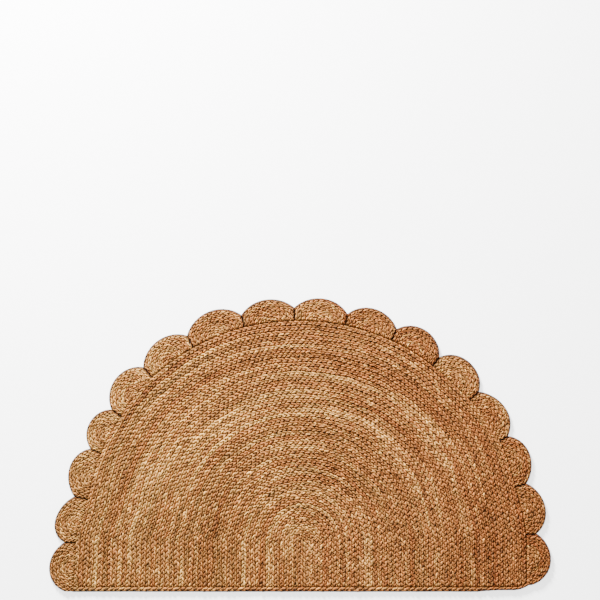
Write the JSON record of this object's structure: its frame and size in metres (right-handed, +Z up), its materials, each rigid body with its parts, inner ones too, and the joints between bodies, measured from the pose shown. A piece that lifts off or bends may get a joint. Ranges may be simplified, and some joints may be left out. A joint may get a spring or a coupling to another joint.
{
  "type": "half-moon braided jute rug",
  "caption": "Flat half-moon rug of braided jute: hairpin rows of flat braid, round scallops sewn along the arc, and a narrow braid along the straight edge.",
  "frame": {"origin": "centre of the half-round on the flat underside, 92 mm from the straight edge", "axes": "+X along the straight edge, +Y from the straight edge towards the top of the arc, +Z up through the rug"},
  "size_m": [1.0064, 0.5874, 0.01],
  "materials": {
    "jute_body": "undyed jute, flat three-strand braid, dry and matt",
    "jute_scallop": "undyed jute, flat three-strand braid, dry and matt",
    "jute_edging": "undyed jute, narrow three-strand braid, dry and matt"
  },
  "bodies": {
    "root": {"braided_body": "jute_body", "scallop_01": "jute_scallop", "scallop_02": "jute_scallop", "scallop_03": "jute_scallop", "scallop_04": "jute_scallop", "scallop_05": "jute_scallop", "scallop_06": "jute_scallop", "scallop_07": "jute_scallop", "scallop_08": "jute_scallop", "scallop_09": "jute_scallop", "scallop_10": "jute_scallop", "scallop_11": "jute_scallop", "scallop_12": "jute_scallop", "scallop_13": "jute_scallop", "scallop_14": "jute_scallop", "scallop_15": "jute_scallop", "scallop_16": "jute_scallop", "straight_edging": "jute_edging"}
  },
  "joints": []
}
